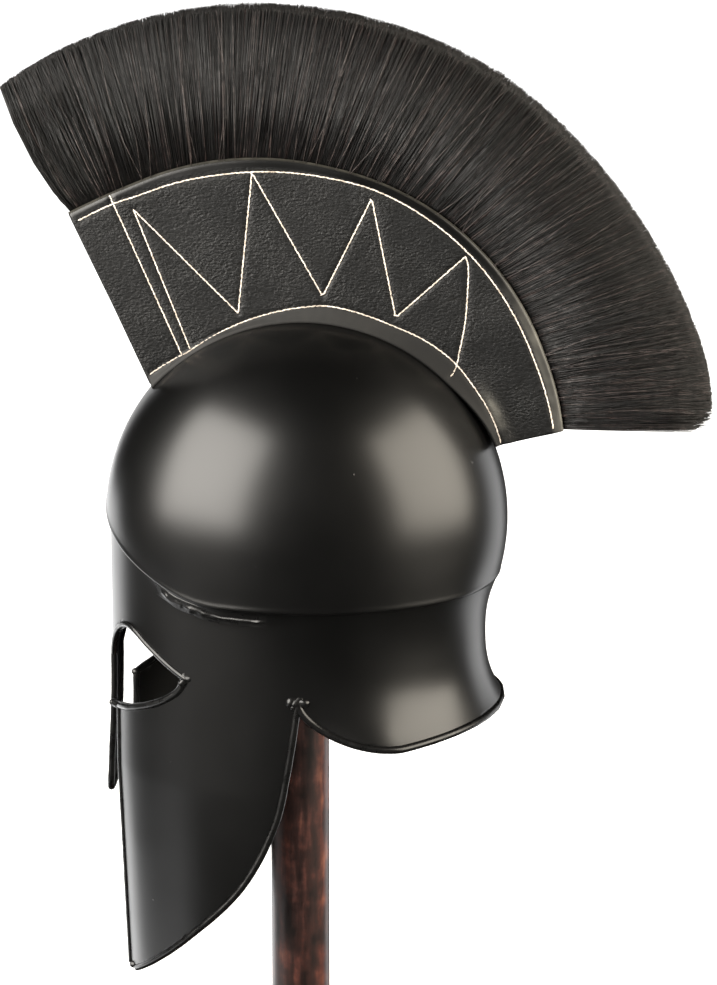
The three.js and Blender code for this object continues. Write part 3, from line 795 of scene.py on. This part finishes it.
# Seams as shares: along runs from the front end to the rear, up from the foot to the outer edge
SEAM_OUTER = [
    (0.01, 0.94), (0.07, 0.94), (0.117, 0.926), (0.185, 0.921), (0.25, 0.916), (0.313, 0.919), (0.376, 0.924),
    (0.45, 0.933), (0.497, 0.937), (0.58, 0.927), (0.662, 0.913), (0.751, 0.893), (0.835, 0.873),
    (0.907, 0.859), (0.992, 0.855),
]
SEAM_INNER = [
    (0.008, 0.056), (0.103, 0.02), (0.129, 0.016), (0.2, 0.024), (0.313, 0.051), (0.406, 0.084),
    (0.468, 0.108), (0.563, 0.108), (0.63, 0.115), (0.708, 0.149), (0.788, 0.172), (0.85, 0.155),
    (0.917, 0.122), (0.995, 0.055),
]
SEAM_FRONT = [(0.070, 0.99), (0.104, 0.02)]
SEAM_SECOND = [(0.099, 0.866), (0.129, 0.016)]
SEAM_ZIGZAG = [
    (0.099, 0.866), (0.261, 0.099), (0.300, 0.914), (0.452, 0.169), (0.495, 0.879), (0.619, 0.179),
    (0.671, 0.876),
]
SEAM_REAR_LEG = [
    (0.671, 0.876), (0.685, 0.828), (0.712, 0.662), (0.741, 0.490), (0.773, 0.277), (0.793, 0.154),
    (0.800, 0.056),
]


def seam_points(seam, smooth):
    """A seam in the crest's middle plane, as evenly spaced places."""
    places = []
    ends = [Vector(p) for p in seam]
    count = 160 if smooth else 0
    line = [through(ends, t) for t in shares(count)] if smooth else ends
    for share in line:
        low, high = foot_place(share.x, CREST_HALF), holder_place(share.x)
        places.append(low + (high - low) * share.y)
    return places


SEAMS = [
    seam_points(SEAM_OUTER, True),
    seam_points(SEAM_INNER, True),
    seam_points(SEAM_FRONT, False),
    seam_points(SEAM_SECOND, False),
    seam_points(SEAM_ZIGZAG, False),
    seam_points(SEAM_REAR_LEG, True),
]


def walk(points, pitch):
    """Places every pitch along a line of points."""
    lengths = [(b - a).length for a, b in zip(points, points[1:])]
    total = sum(lengths)
    steps = max(1, round(total / pitch))
    found = []
    at, run = 0, 0.0
    for i in range(steps + 1):
        target = total * i / steps
        while at < len(lengths) - 1 and run + lengths[at] < target:
            run += lengths[at]
            at += 1
        found.append(points[at].lerp(points[at + 1], clamp((target - run) / lengths[at], 0, 1)))
    return found


SEAM_DOTS = [p for seam in SEAMS for p in walk(seam, 1.0)]
seam_tree = kdtree.KDTree(len(SEAM_DOTS))
for number, dot in enumerate(SEAM_DOTS):
    seam_tree.insert((dot.x, dot.y, 0), number)
seam_tree.balance()


INNER_ALONG = [a for a, _ in SEAM_INNER]
INNER_UP = [u for _, u in SEAM_INNER]


def foot_band(along, depth):
    """Height of the strip under the inner seam, which flares out onto the bowl."""
    return max(3.0, float(np.interp(along, INNER_ALONG, INNER_UP)) * depth)


def leather_out(along, from_foot, from_edge, place):
    """How far the leather's face stands from the crest's middle plane."""
    band = foot_band(along, from_foot + from_edge)
    out = CREST_HALF
    out += FOOT_SPREAD * clamp(1 - from_foot / band, 0, 1) ** 1.3
    edge = clamp(1 - from_edge / OUTER_BAND, 0, 1)
    out -= OUTER_PINCH * edge ** 6 + 0.45 * smoothstep(edge, 0.1, 0.35)
    curl = smoothstep(along, 0.8, 0.93) * math.exp(-((from_foot - band - 4) / 5.0) ** 2)
    out += 1.6 * curl
    _, _, distance = seam_tree.find((place.x, place.y, 0))
    out -= 0.7 * math.exp(-(distance / 1.3) ** 2)
    out += 0.35 * noise.noise(Vector((place.x, place.y, 0)) * 0.03)
    return out


def leather_point(along, up, side):
    low = foot_place(along, CREST_HALF + FOOT_SPREAD - LEATHER)
    high = holder_place(along)
    length = (high - low).length
    place = low.lerp(high, up)
    out = leather_out(along, up * length, (1 - up) * length, place)
    return Vector((side * out, place.x, place.y))


def holder_depth(along):
    return (holder_place(along) - foot_place(along, CREST_HALF)).length


def leather_wear_and_edge_highlight(along, up):
    """Greyed colour: rubbed dye on the foot strip and the rear leaf's curl, a thin painted highlight at the
    cut outer edge.
    """
    depth = holder_depth(along)
    from_foot, from_edge = up * depth, (1 - up) * depth
    band = foot_band(along, depth)
    curl = math.exp(-((along - 0.92) / 0.045) ** 2) * math.exp(-((from_foot - band - 3.5) / 3.2) ** 2)
    strip = 0.05 * (1 - smoothstep(from_foot, band - 1.2, band)) * (1 - smoothstep(along, 0.55, 0.72))
    # A thin painted highlight along the cut outer edge
    rim = 0.5 * (1 - smoothstep(from_edge, 0.8, 1.4))
    rear = 0.35 * smoothstep(along, 0.72, 0.85) * (1 - smoothstep(from_edge, 5, 7))
    patchy = 0.75 + 0.5 * noise.noise(Vector((along * 60, up * 12, 4.0)))
    return clamp((0.62 * curl + strip + rim + rear) * patchy, 0, 1)


def leather_flat(along, up):
    """Where the grain is pressed out: the strips outside the two long seams."""
    depth = holder_depth(along)
    band = foot_band(along, depth)
    strip = 1 - smoothstep(up * depth, band - 1, band)
    return max(strip, 1 - smoothstep((1 - up) * depth, OUTER_BAND - 2, OUTER_BAND - 1))


def leather_dull(along, up):
    """Dull foot strip, and a burnished band along the outer edge that goes dull towards the rear."""
    pressed = leather_flat(along, up)
    return pressed if up < 0.5 else -0.75 * pressed * (1 - smoothstep(along, 0.6, 0.8))


def make_covers():
    marks = {"wear_and_edge_highlight": leather_wear_and_edge_highlight, "flat": leather_flat, "dull": leather_dull}
    for name, side in (("left", 1), ("right", -1)):
        bm = mapped_grid(240, 62, lambda u, v: leather_point(u, v, side), flip=side < 0, marks=marks)
        cover = f"crest_cover_{name}"
        piece = finish_piece(bm, f"leather_side_{name}", HIDE, (cover,), sharp=60)
        thicken(piece, "hide thickness", LEATHER)
        make_stitches(name, side)


STITCH_PITCH = 3.1
STITCH_LENGTH = 3.7
THREAD_RADIUS = 0.47


def make_stitches(name, side):
    bm = bmesh.new()
    for seam in SEAMS:
        places = walk(seam, STITCH_PITCH)
        for a, b in zip(places, places[1:]):
            middle = (a + b) / 2
            run = (b - a).normalized()
            near = seam_face(middle, side)
            ahead = Vector((0, run.x, run.y))
            ahead = (Matrix.Rotation(random.uniform(-0.17, 0.17), 3, "X") @ ahead).normalized()
            out = Vector((side, 0, 0))
            turn = Matrix((out.cross(ahead), out, -ahead)).transposed().to_4x4()
            made = bmesh.ops.create_uvsphere(bm, u_segments=8, v_segments=5, radius=1.0)["verts"]
            stretch = Matrix.Diagonal((THREAD_RADIUS, THREAD_RADIUS * 0.8, STITCH_LENGTH / 2, 1))
            bmesh.ops.transform(bm, matrix=Matrix.Translation(near) @ turn @ stretch, verts=made)
    finish_piece(bm, f"stitching_{name}", THREAD)


def seam_face(place, side):
    """The leather's face at a place of the crest's middle plane."""
    along = seam_share(place)
    low = foot_place(along, CREST_HALF + FOOT_SPREAD - LEATHER)
    high = holder_place(along)
    length = (high - low).length
    up = (place - low).dot(high - low) / length
    out = leather_out(along, up, length - up, place) + 0.25
    return Vector((side * out, place.x, place.y))


SHARE_TABLE = shares(400)
SHARE_LINES = [(foot_place(a, CREST_HALF), holder_place(a)) for a in SHARE_TABLE]


def seam_share(place):
    """Share along the crest whose line from foot to edge passes through the place."""
    misses = [abs((high - low).normalized().cross(place - low)) for low, high in SHARE_LINES]
    return SHARE_TABLE[misses.index(min(misses))]


def make_ends():
    """Leather strips that close the holder's two ends, slightly rounded."""
    inner = CREST_HALF - LEATHER - 0.3
    for name, start, way in (("front", 0.0, 1), ("rear", 1.0, -1)):
        def place(across, up):
            low, high = foot_place(start, 0), holder_place(start, 6.3)
            spot = low.lerp(high, lerp(0.01, 0.985, up))
            run = (high - low).normalized()
            outward = Vector((run.y, -run.x)) * -way
            belly = 0.8 * (1 - (2 * across - 1) ** 2)
            spot = spot + outward * (belly - 1.0)
            return Vector((lerp(-inner, inner, across), spot.x, spot.y))

        bm = mapped_grid(14, 60, place, flip=way > 0)
        piece = finish_piece(bm, f"leather_end_{name}", HIDE, (f"crest_end_{name}",))
        thicken(piece, "hide thickness", LEATHER)


# Plume

def bristle_tip(along, lean, reach):
    root = holder_place(along, BRUSH_BACK_DEPTH)
    way = Vector((math.cos(lean), math.sin(lean)))
    offset = root - CREST_CENTRE
    across = offset.dot(way)
    length = math.sqrt(across ** 2 + reach ** 2 - offset.length_squared) - across
    return root, root + way * length


def plume_trim(along):
    """How far the trimmed outline leaves its arc."""
    return PLUME_REAR_GROWTH * smoothstep(along, PLUME_REAR_START, 1) - PLUME_DIP * hump(along, PLUME_DIP_RUN)


def make_plume_heart():
    """A dark solid a little inside the bristle, so that no light shows between the strands."""
    def place(across, up, side):
        lean = math.radians(lerp(BRISTLE_LEAN_FRONT, BRISTLE_LEAN_REAR, across))
        root, tip = bristle_tip(lerp(0.012, 0.988, across), lean, PLUME_RADIUS - 13)
        spot = root.lerp(tip, up)
        half = lerp(6.0, PLUME_TIP_HALF - 6.0, up ** 0.8)
        return Vector((side * half, spot.x, spot.y))

    bm = bmesh.new()
    for side in (1, -1):
        grid = mapped_grid(90, 8, lambda u, v: place(u, v, side), flip=side < 0)
        mesh = bpy.data.meshes.new("half")
        grid.to_mesh(mesh)
        grid.free()
        bm.from_mesh(mesh)
        bpy.data.meshes.remove(mesh)
    edges = [e for e in bm.edges if e.is_boundary]
    bmesh.ops.bridge_loops(bm, edges=edges)
    bmesh.ops.recalc_face_normals(bm, faces=bm.faces)
    finish_piece(bm, "plume_heart", HEART)


# Strands: how many, from where to where along the holder, rings in each, pieces, and how unruly they are
STRAND_GROUPS = (
    ("sides", 46000, 0.03, 0.97, 2, 3, 0.0),
    ("front", 3600, 0.003, 0.07, 5, 1, 0.0),
    ("rear", 4200, 0.84, 0.997, 5, 1, 1.0),
    ("stray", 70, 0.05, 0.95, 4, 1, 3.0),
)
STRAND_RADIUS = (0.2, 0.34)
BRUSH_HALF = 7.4
STRAY_HALF = 9.5
SHORT_SHARE = 0.14
PALE_SHARE = 0.012
FRONT_BELLY = 5.5
REAR_ROUNDING = 16


def make_bristle():
    rng = np.random.default_rng(11)
    for name, count, start, end, rings, pieces, wild in STRAND_GROUPS:
        points, tone = lay_strands(rng, count, start, end, rings, wild)
        for number, part in enumerate(np.array_split(rng.permutation(count), pieces)):
            strand_mesh(f"plume_bristle_{name}_{number + 1}", points[part], tone[part])
    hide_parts("crest_plume")


def lay_strands(rng, count, start, end, rings, wild):
    """Tapered three-sided strands as one array: strand, ring, corner, place."""
    along = rng.uniform(start, end, count)
    # Most strands stand near the two faces, where they show
    face = rng.uniform(-1, 1, count)
    face = np.sign(face) * np.abs(face) ** 0.45
    tuft = np.array([
        [noise.noise(Vector((a * 70, f * 1.6, 0.0))), noise.noise(Vector((a * 130, f * 2.2, 9.0)))]
        for a, f in zip(along, face)
    ])
    trim = np.interp(along, shares(100), [plume_trim(a) for a in shares(100)])
    swell = np.interp(along, shares(100), [(holder_place(a) - CREST_CENTRE).length for a in shares(100)])
    turn = np.radians(HOLDER_FRONT_ANGLE + (HOLDER_REAR_ANGLE - HOLDER_FRONT_ANGLE) * along)
    root_y = CREST_CENTRE.x + np.cos(turn) * (swell - BRUSH_BACK_DEPTH)
    root_z = CREST_CENTRE.y + np.sin(turn) * (swell - BRUSH_BACK_DEPTH)
    lean = np.radians(BRISTLE_LEAN_FRONT + (BRISTLE_LEAN_REAR - BRISTLE_LEAN_FRONT) * along)
    calm = np.clip(np.minimum(along, 1 - along) / 0.03, 0.1, 1)
    # The hairs get more unruly, and their shades more mixed, towards the rear
    loose = rng.normal(0, 1, count) * (0.018 + 0.02 * along + 0.012 * wild)
    lean += ((tuft[:, 0] * 0.045 + tuft[:, 1] * 0.03) * (1 + 0.8 * wild) + loose) * calm
    reach = PLUME_RADIUS + trim - np.abs(rng.normal(0, 1.1, count)) - 3.0 * np.clip(tuft[:, 1] + 0.2, 0, 1)
    # The trimmed outline is rounded off at the rear corner
    reach -= REAR_ROUNDING * np.clip((along - 0.95) / 0.05, 0, 1) ** 2 * rng.uniform(0.7, 1.15, count)
    short = rng.random(count) < SHORT_SHARE
    reach = np.where(short, reach - rng.uniform(2, 40, count), reach)
    way_y, way_z = np.cos(lean), np.sin(lean)
    off_y, off_z = root_y - CREST_CENTRE.x, root_z - CREST_CENTRE.y
    across = off_y * way_y + off_z * way_z
    length = np.sqrt(across ** 2 + reach ** 2 - off_y ** 2 - off_z ** 2) - across
    stray = wild > 2
    root_x = np.sign(face) * STRAY_HALF if stray else face * BRUSH_HALF
    tip_x = face * (PLUME_TIP_HALF - 1.0) + rng.normal(0, 0.6, count)
    tip_x = np.sign(face) * PLUME_TIP_HALF if stray else tip_x
    bend = (rng.normal(0, 0.8 + wild, count) + tuft[:, 0] * 3.0) * calm
    # The front strands belly forward out of the holder
    bend = bend + FRONT_BELLY * np.clip(1 - along / 0.075, 0, 1)
    thick = rng.uniform(*STRAND_RADIUS, count) * (0.75 if stray else 1.0)
    tone = np.clip(0.38 + 0.35 * tuft[:, 1] + rng.normal(0, 1, count) * (0.24 + 0.16 * along), 0, 0.97)
    tone = np.where((rng.random(count) < PALE_SHARE) | stray, 1.0, tone)
    points = np.zeros((count, rings, 3, 3))
    for r, share in enumerate(shares(rings - 1)):
        size = thick * (1 - 0.5 * share ** 2)
        middle_x = root_x + (tip_x - root_x) * share ** 0.8
        sag = bend * 4 * share * (1 - share)
        middle_y = root_y + way_y * length * share - way_z * sag
        middle_z = root_z + way_z * length * share + way_y * sag
        for k in range(3):
            spin = k * 2 * math.pi / 3 + face * 3
            points[:, r, k, 0] = middle_x + np.cos(spin) * size
            points[:, r, k, 1] = middle_y - way_z * np.sin(spin) * size
            points[:, r, k, 2] = middle_z + way_y * np.sin(spin) * size
    points[:, :, :, 0] = np.clip(points[:, :, :, 0], -PLUME_TIP_HALF - 0.4, PLUME_TIP_HALF + 0.4)
    points += np.array(SKULL_CENTRE)
    return points * MM, tone


def strand_mesh(name, points, tone):
    """One piece of many strands: three sides between each two rings, and a cap on either end."""
    count, rings = points.shape[:2]
    each = rings * 3
    quads = np.array([
        (r * 3 + k, r * 3 + (k + 1) % 3, r * 3 + 3 + (k + 1) % 3, r * 3 + 3 + k)
        for r in range(rings - 1) for k in range(3)
    ])
    caps = np.array([(2, 1, 0), (each - 3, each - 2, each - 1)])
    offsets = (np.arange(count) * each)[:, None, None]
    loops = np.concatenate([(quads[None] + offsets).reshape(-1), (caps[None] + offsets).reshape(-1)])
    mesh = bpy.data.meshes.new(name)
    mesh.vertices.add(count * each)
    mesh.vertices.foreach_set("co", points.reshape(-1).astype(np.float32))
    mesh.loops.add(len(loops))
    mesh.loops.foreach_set("vertex_index", loops.astype(np.int32))
    quad_count, cap_count = count * len(quads), count * len(caps)
    starts = np.concatenate([np.arange(quad_count) * 4, quad_count * 4 + np.arange(cap_count) * 3])
    mesh.polygons.add(quad_count + cap_count)
    mesh.polygons.foreach_set("loop_start", starts.astype(np.int32))
    mesh.update(calc_edges=True)
    mesh.validate()
    layer = mesh.attributes.new("tone", "FLOAT", "POINT")
    layer.data.foreach_set("value", np.repeat(tone, each).astype(np.float32))
    mesh.shade_smooth()
    show(mesh, name, BRISTLE)


# Stand

def turned(profile, name, stands_for, sides=96):
    """A turned piece: the profile spun once round the stand's axis."""
    bm = bmesh.new()
    verts = [bm.verts.new((r, 0, z)) for r, z in profile]
    edges = [bm.edges.new(pair) for pair in zip(verts, verts[1:])]
    bmesh.ops.spin(
        bm, geom=verts + edges, axis=(0, 0, 1), cent=(0, 0, 0), dvec=(0, 0, 0),
        angle=2 * math.pi, steps=sides, use_merge=True, use_duplicate=False,
    )
    bmesh.ops.remove_doubles(bm, verts=bm.verts, dist=0.001)
    bmesh.ops.recalc_face_normals(bm, faces=bm.faces)
    finish_piece(bm, name, WOOD, (stands_for,), sharp=30, offset=Vector())


BASE_RADIUS = 105.0
BASE_THICKNESS = 20.0
POST_RADIUS = 18.75
PAD_RADIUS = 42.0
PAD_THICKNESS = 16.0
PAD_NECK = 22.0


def make_stand():
    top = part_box("stand_post")[1].z / MM
    rounding = [
        (BASE_RADIUS - 5 + 5 * math.cos(a), BASE_THICKNESS - 5 + 5 * math.sin(a))
        for a in (math.radians(10 * k) for k in range(10))
    ]
    base = [(0, 0), (BASE_RADIUS - 2, 0), (BASE_RADIUS - 0.6, 0.6), (BASE_RADIUS, 2)]
    base += rounding + [(POST_RADIUS + 2, BASE_THICKNESS), (0, BASE_THICKNESS)]
    turned(base, "turned_base", "stand_base")

    def crown(radius):
        """Height of the pad's face, which follows the bowl's crown from inside."""
        share = (radius + 5) / (SKULL_WIDTH / 2 - SHEET)
        return top - (SKULL_RISE - SHEET) * (1 - math.sqrt(1 - share ** 2)) - 0.2

    edge = crown(PAD_RADIUS)
    start = edge - PAD_THICKNESS - PAD_NECK
    neck = [
        (POST_RADIUS + (PAD_RADIUS - 3 - POST_RADIUS) * t ** 3, start + PAD_NECK * t) for t in shares(10)
    ]
    post = [(0, BASE_THICKNESS + 0.3), (POST_RADIUS, BASE_THICKNESS + 0.3)]
    post += [(POST_RADIUS, lerp(BASE_THICKNESS + 1, start - 1, t)) for t in shares(12)]
    post += neck + [(PAD_RADIUS, edge - PAD_THICKNESS + 3), (PAD_RADIUS, edge - 1)]
    post += [(PAD_RADIUS * (1 - t), crown(PAD_RADIUS * (1 - t))) for t in shares(8)]
    turned(post, "turned_post", "stand_post")


# Room, light and camera

def make_room():
    bm = bmesh.new()
    bmesh.ops.create_grid(bm, x_segments=1, y_segments=1, size=30000)
    bmesh.ops.scale(bm, verts=bm.verts, vec=(MM, MM, MM))
    mesh = bpy.data.meshes.new("floor")
    bm.to_mesh(mesh)
    bm.free()
    floor = bpy.data.objects.new("floor", mesh)
    bpy.context.collection.objects.link(floor)
    material, _, shader, _ = new_material("matt_white_floor", "#ffffff", 0.9, Emission_Strength=0.25)
    shader.inputs["Emission Color"].default_value = (1, 1, 1, 1)
    mesh.materials.append(material)
    floor.visible_glossy = False
    world = bpy.data.worlds.new("studio")
    bpy.context.scene.world = world
    world.use_nodes = True
    background = world.node_tree.nodes["Background"].inputs
    background["Color"].default_value = (1, 1, 1, 1)
    background["Strength"].default_value = 1.0
    world.cycles_visibility.glossy = False


def put_in_view(name, data, aim, azimuth, elevation, distance):
    """Places a lamp or camera at a distance in metres from its aim, and turns it to the aim."""
    a, e = math.radians(azimuth), math.radians(elevation)
    back = Vector((math.sin(a) * math.cos(e), -math.cos(a) * math.cos(e), math.sin(e)))
    placed = bpy.data.objects.new(name, data)
    placed.location = aim + back * distance
    placed.rotation_mode = "QUATERNION"
    placed.rotation_quaternion = back.to_track_quat("Z", "Y")
    bpy.context.collection.objects.link(placed)
    return placed


def softbox(name, azimuth, elevation, distance, width, height, power, colour="#ffffff"):
    """A soft rectangle of light that faces the helmet."""
    light = bpy.data.lights.new(name, "AREA")
    light.shape = "RECTANGLE"
    light.size, light.size_y = width, height
    light.energy = power
    light.color = linear(colour)[:3]
    put_in_view(name, light, SKULL_CENTRE * MM, azimuth, elevation, distance).visible_camera = False


def make_lights():
    softbox("front softbox", 37, 22, 2.2, 2.15, 2.05, 152, "#fffaf2")
    softbox("rear softbox", 164, 19, 2.2, 2.15, 2.05, 110, "#fff6e6")
    softbox("white sweep at the front", -57, -24, 3.0, 2.85, 1.7, 43)
    softbox("white table at the front", -8, -38, 2.2, 2.6, 0.7, 9)
    softbox("white wall at the front", -66, 12, 3.0, 1.2, 2.4, 11)
    softbox("white wall at the back", -134, -14, 3.0, 1.4, 2.7, 22)


def make_camera():
    data = bpy.data.cameras.new("camera")
    data.sensor_width = 36.0
    data.lens = data.sensor_width * CAMERA_DISTANCE / (PIXEL_MM * PHOTO_HEIGHT)
    data.clip_end = 100
    bpy.context.scene.camera = put_in_view(
        "camera", data, AIM * MM, CAMERA_AZIMUTH, CAMERA_ELEVATION, CAMERA_DISTANCE * MM)


def look():
    scene = bpy.context.scene
    scene.view_settings.view_transform = "Standard"
    scene.view_settings.look = "None"


make_shell()
make_wires()
make_weld()
make_covers()
make_ends()
make_plume_heart()
make_bristle()
make_stand()
core = bpy.data.objects["crest_core"]
core.data.materials.clear()
core.data.materials.append(HEART)
make_room()
make_lights()
make_camera()
look()
